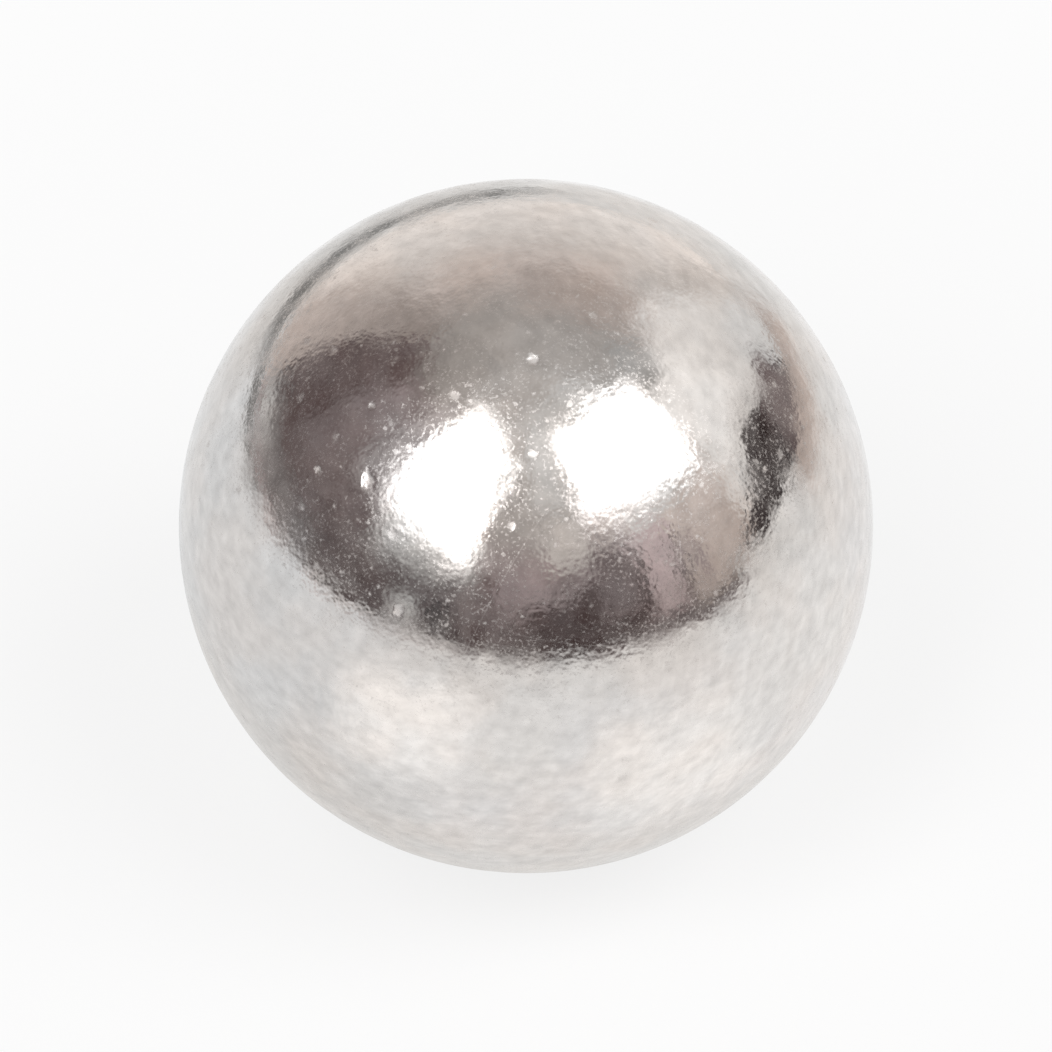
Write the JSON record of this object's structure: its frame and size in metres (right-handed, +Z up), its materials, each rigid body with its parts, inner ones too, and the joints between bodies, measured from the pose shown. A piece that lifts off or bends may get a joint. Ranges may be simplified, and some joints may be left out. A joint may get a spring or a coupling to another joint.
{
  "type": "steel ball",
  "caption": "Solid steel ball, a true sphere with a bright polished face that fine tumbling marks soften a little.",
  "frame": {"origin": "centre of the ball", "axes": "+Z up. The ball is the same about every axis; its lowest point, where it touches what carries it, is on -Z"},
  "size_m": [0.0126, 0.0126, 0.0126],
  "materials": {
    "polished_steel": "polished"
  },
  "bodies": {
    "root": {"ball": "polished_steel"}
  },
  "joints": []
}
